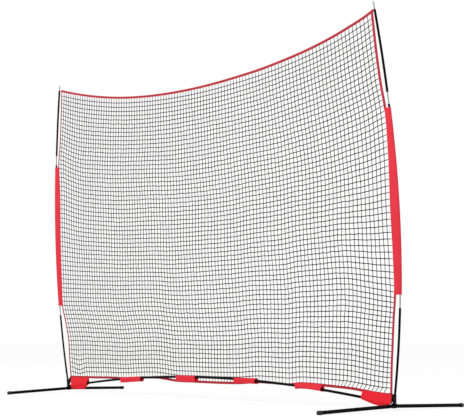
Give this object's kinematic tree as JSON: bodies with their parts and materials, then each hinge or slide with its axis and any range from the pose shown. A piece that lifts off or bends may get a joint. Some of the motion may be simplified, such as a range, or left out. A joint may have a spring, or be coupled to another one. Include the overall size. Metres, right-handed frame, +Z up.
{
  "type": "pitching target net",
  "caption": "Wide free-standing ball-stop net: bowed posts on swivelling tube feet, bowed ground pole, bound square-mesh net with red sleeves, loops and pockets.",
  "frame": {"origin": "on the ground, midway between the two feet's swivels", "axes": "+X along the net to its right-hand post, +Y to the rear, +Z up"},
  "size_m": [3.9482, 1.3748, 2.7863],
  "materials": {
    "black_steel": "glossy black powder coat on steel tube",
    "black_cover": "smooth black plastic tube",
    "black_cap": "moulded black rubber",
    "grey_rod": "smooth grey fibreglass rod",
    "red_fabric": "bright red coated oxford cloth",
    "red_binding": "dark red woven binding tape",
    "black_twine": "black knotless twine",
    "black_webbing": "black woven webbing"
  },
  "bodies": {
    "frame": {"swivel_pin_left": "black_steel", "corner_bracket_left": "black_steel", "post_tube_left": "black_steel", "rod_bush_left": "black_steel", "ferrule_middle_left": "black_steel", "ferrule_top_left": "black_steel", "rod_cover_lower_left": "black_cover", "rod_cover_middle_left": "black_cover", "rod_cover_top_left": "black_cover", "rod_lower_left": "grey_rod", "rod_middle_left": "grey_rod", "rod_top_left": "grey_rod", "side_sleeve_left": "red_fabric", "corner_pocket_left": "red_fabric", "corner_strap_left": "black_webbing", "top_loop_left": "red_binding", "side_binding_upper_left": "red_binding", "side_binding_lower_left": "red_binding", "swivel_pin_right": "black_steel", "corner_bracket_right": "black_steel", "post_tube_right": "black_steel", "rod_bush_right": "black_steel", "ferrule_middle_right": "black_steel", "ferrule_top_right": "black_steel", "rod_cover_lower_right": "black_cover", "rod_cover_middle_right": "black_cover", "rod_cover_top_right": "black_cover", "rod_lower_right": "grey_rod", "rod_middle_right": "grey_rod", "rod_top_right": "grey_rod", "side_sleeve_right": "red_fabric", "corner_pocket_right": "red_fabric", "corner_strap_right": "black_webbing", "top_loop_right": "red_binding", "side_binding_upper_right": "red_binding", "side_binding_lower_right": "red_binding", "ground_pole_1": "black_steel", "ground_pole_2": "black_steel", "ground_pole_3": "black_steel", "ground_pole_4": "black_steel", "ground_spigot_1": "black_steel", "ground_spigot_2": "black_steel", "ground_spigot_3": "black_steel", "bottom_loop_1": "red_fabric", "bottom_loop_2": "red_fabric", "bottom_loop_3": "red_fabric", "bottom_loop_4": "red_fabric", "top_binding": "red_binding", "bottom_binding": "red_binding", "net": "black_twine"},
    "foot_left": {"foot_hub_left": "black_steel"},
    "front_leg_left": {"leg_front_left": "black_steel", "end_cap_front_left": "black_cap"},
    "rear_leg_left": {"leg_rear_left": "black_steel", "end_cap_rear_left": "black_cap"},
    "foot_right": {"foot_hub_right": "black_steel"},
    "front_leg_right": {"leg_front_right": "black_steel", "end_cap_front_right": "black_cap"},
    "rear_leg_right": {"leg_rear_right": "black_steel", "end_cap_rear_right": "black_cap"}
  },
  "joints": [
    {"name": "foot_swivel_left", "type": "hinge", "parent": "frame", "child": "foot_left", "pos_m": [-1.845, 0, 0.047], "axis": [0, 0, 1], "range_deg": [-25, 25]},
    {"name": "front_leg_pull_left", "type": "slide", "parent": "foot_left", "child": "front_leg_left", "axis": [0.1062, -0.994, -0.027], "range_m": [0, 0.06]},
    {"name": "rear_leg_pull_left", "type": "slide", "parent": "foot_left", "child": "rear_leg_left", "axis": [-0.1062, 0.994, -0.027], "range_m": [0, 0.06]},
    {"name": "foot_swivel_right", "type": "hinge", "parent": "frame", "child": "foot_right", "pos_m": [1.845, 0, 0.047], "axis": [0, 0, 1], "range_deg": [-25, 25]},
    {"name": "front_leg_pull_right", "type": "slide", "parent": "foot_right", "child": "front_leg_right", "axis": [-0.1062, -0.994, -0.027], "range_m": [0, 0.06]},
    {"name": "rear_leg_pull_right", "type": "slide", "parent": "foot_right", "child": "rear_leg_right", "axis": [0.1062, 0.994, -0.027], "range_m": [0, 0.06]}
  ]
}
